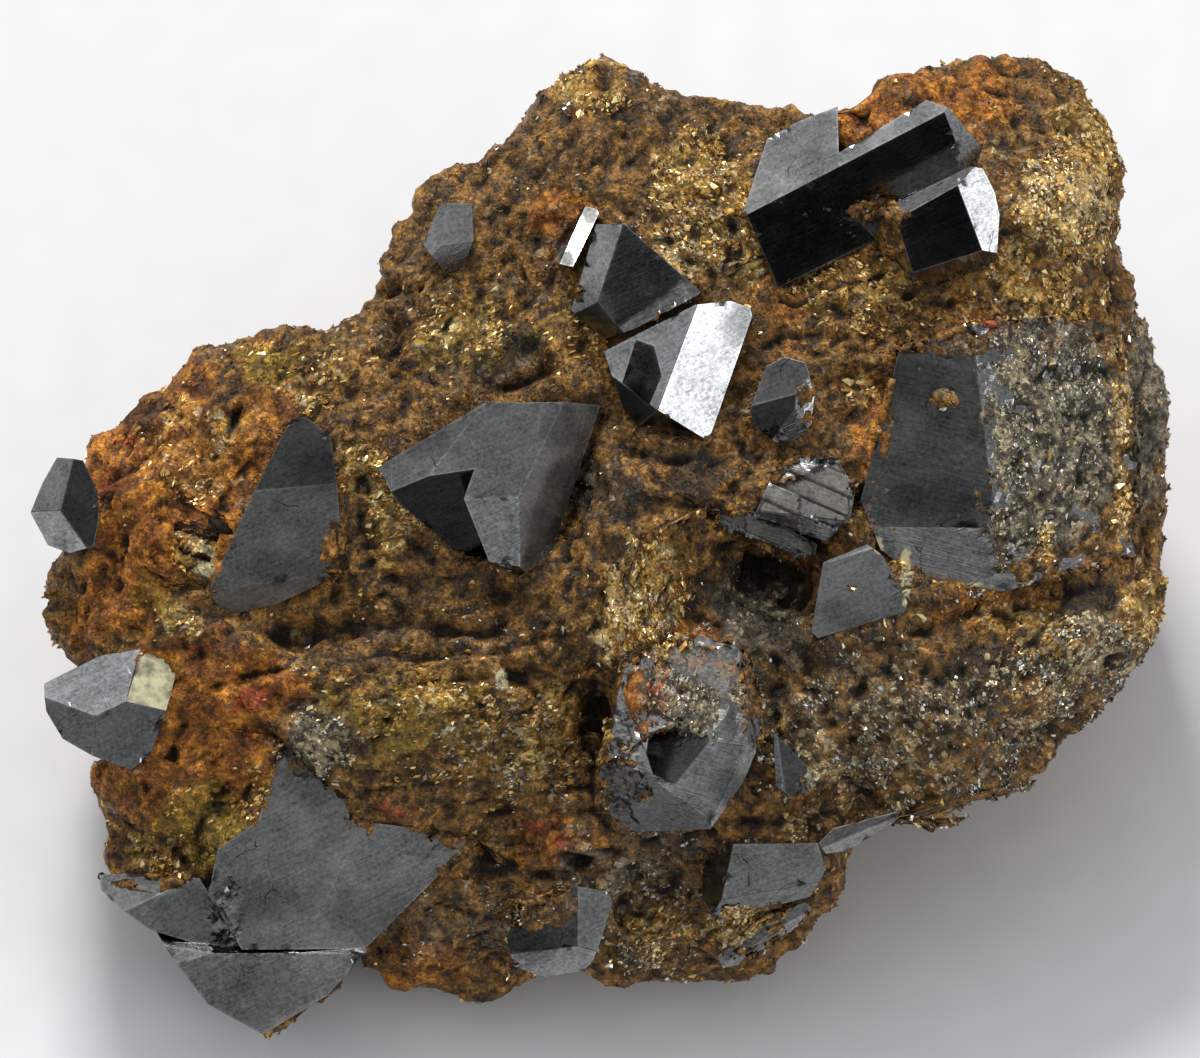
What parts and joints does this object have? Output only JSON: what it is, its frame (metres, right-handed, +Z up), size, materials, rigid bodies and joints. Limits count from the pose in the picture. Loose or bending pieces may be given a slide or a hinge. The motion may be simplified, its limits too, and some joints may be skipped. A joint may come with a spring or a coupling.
{
  "type": "rutile in matrix specimen",
  "caption": "Lump of rust-stained mica rock that rests flat, its sloping face set with dark, bright-faced rutile crystals.",
  "frame": {"origin": "on the ground, under the middle of the specimen's bounding box", "axes": "+X to the right along the display face, +Y towards the high back, +Z up"},
  "size_m": [0.0908, 0.0714, 0.0475],
  "materials": {
    "mica_rock": "rough, rust-stained, with glinting mica",
    "bright_rutile": "smooth, near-metallic crystal faces",
    "dull_rutile": "etched and mica-dusted crystal faces"
  },
  "bodies": {
    "root": {"matrix": "mica_rock", "corner_crystal": "bright_rutile", "left_point_crystal": "bright_rutile", "left_edge_crystal": "bright_rutile", "kite_crystal": "bright_rutile", "centre_crystal": "bright_rutile", "twin_upper_crystal": "bright_rutile", "twin_lower_crystal": "bright_rutile", "sliver_crystal": "bright_rutile", "long_prism_crystal": "bright_rutile", "upper_left_crystal": "bright_rutile", "round_crystal": "bright_rutile", "layered_crystal": "dull_rutile", "wedge_crystal": "bright_rutile", "right_crystal": "dull_rutile", "notched_crystal": "dull_rutile", "parallelogram_crystal": "bright_rutile", "bottom_crystal": "bright_rutile", "bottom_edge_crystal": "bright_rutile", "flank_crystal": "dull_rutile", "edge_sliver_crystal": "bright_rutile"}
  },
  "joints": []
}
